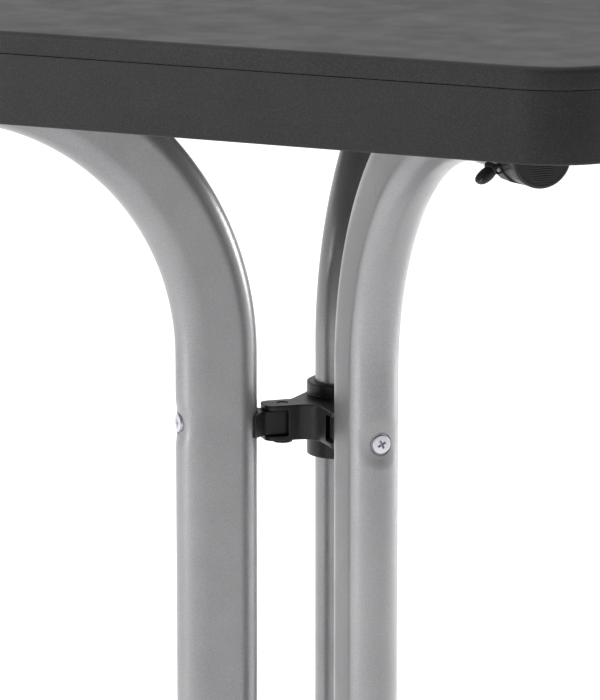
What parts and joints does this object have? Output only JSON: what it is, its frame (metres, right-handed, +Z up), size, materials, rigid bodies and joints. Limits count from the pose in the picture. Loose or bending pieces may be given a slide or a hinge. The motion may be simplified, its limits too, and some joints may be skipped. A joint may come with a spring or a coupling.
{
  "type": "folding table",
  "caption": "Small three-legged folding table: black skirted top that flips up, flat-oval bent tube legs that swing together on a moulded hub.",
  "frame": {"origin": "centre of the top's outline, on the floor", "axes": "+Z up, -Y towards the user, +X to the user's right"},
  "size_m": [0.57, 0.57, 0.735],
  "materials": {
    "silver_paint": "satin silver-grey powder coat",
    "black_plastic": "fine-grained moulded black plastic",
    "top_black": "fine-grained charcoal black moulding",
    "zinc": "bright zinc plate",
    "steel": "plain zinc-plated sheet steel",
    "rubber": "soft black rubber"
  },
  "bodies": {
    "rear_frame": {"rear_leg_tube": "silver_paint", "rear_foot_cap": "black_plastic", "rear_arm_plug": "black_plastic", "rear_hub_screw": "zinc", "hub_body": "black_plastic", "hub_clamp": "black_plastic"},
    "top": {"bracket_screw_1": "zinc", "bracket_screw_2": "zinc", "bracket_screw_3": "zinc", "bracket_screw_4": "zinc", "flip_pin": "steel", "flip_pin_clip": "steel", "keeper_screw_1": "zinc", "keeper_screw_2": "zinc", "keeper_screw_3": "zinc", "keeper_screw_4": "zinc", "left_flip_bracket": "steel", "left_keeper": "black_plastic", "left_rest_pad": "rubber", "right_flip_bracket": "steel", "right_keeper": "black_plastic", "right_rest_pad": "rubber", "skirt_screw_1": "zinc", "skirt_screw_2": "zinc", "skirt_screw_3": "zinc", "skirt_screw_4": "zinc", "skirt_screw_5": "zinc", "skirt_screw_6": "zinc", "tabletop_board": "top_black", "tabletop_skirt": "top_black"},
    "right_leg": {"right_leg_tube": "silver_paint", "right_foot_cap": "black_plastic", "right_arm_cap": "black_plastic", "right_tongue": "black_plastic", "right_hub_screw": "zinc", "right_swing_pin": "black_plastic", "right_arm_strap": "black_plastic", "right_lever_pin": "steel"},
    "right_lever": {"right_finger_lever": "black_plastic"},
    "left_leg": {"left_leg_tube": "silver_paint", "left_foot_cap": "black_plastic", "left_arm_cap": "black_plastic", "left_tongue": "black_plastic", "left_hub_screw": "zinc", "left_swing_pin": "black_plastic", "left_arm_strap": "black_plastic", "left_lever_pin": "steel"},
    "left_lever": {"left_finger_lever": "black_plastic"}
  },
  "joints": [
    {"name": "top_flip", "type": "hinge", "parent": "rear_frame", "child": "top", "pos_m": [0, 0.247, 0.691], "axis": [-1, 0, 0], "range_deg": [0, 90]},
    {"name": "right_leg_swing", "type": "hinge", "parent": "rear_frame", "child": "right_leg", "pos_m": [0.01995, -0.05293, 0.463], "axis": [0, 0, -1], "range_deg": [0, 42]},
    {"name": "left_leg_swing", "type": "hinge", "parent": "rear_frame", "child": "left_leg", "pos_m": [-0.01995, -0.05293, 0.463], "axis": [0, 0, 1], "range_deg": [0, 42]},
    {"name": "right_lever_press", "type": "hinge", "parent": "right_leg", "child": "right_lever", "pos_m": [0.20716, -0.25443, 0.6715], "axis": [-0.7254, 0.6884, 0], "range_deg": [0, 16]},
    {"name": "left_lever_press", "type": "hinge", "parent": "left_leg", "child": "left_lever", "pos_m": [-0.20716, -0.25443, 0.6715], "axis": [-0.7254, -0.6884, 0], "range_deg": [0, 16]}
  ],
  "couplings": [
    {"joint": "right_leg_swing", "follows": "top_flip", "ratio": 0.46667},
    {"joint": "left_leg_swing", "follows": "top_flip", "ratio": 0.46667}
  ]
}
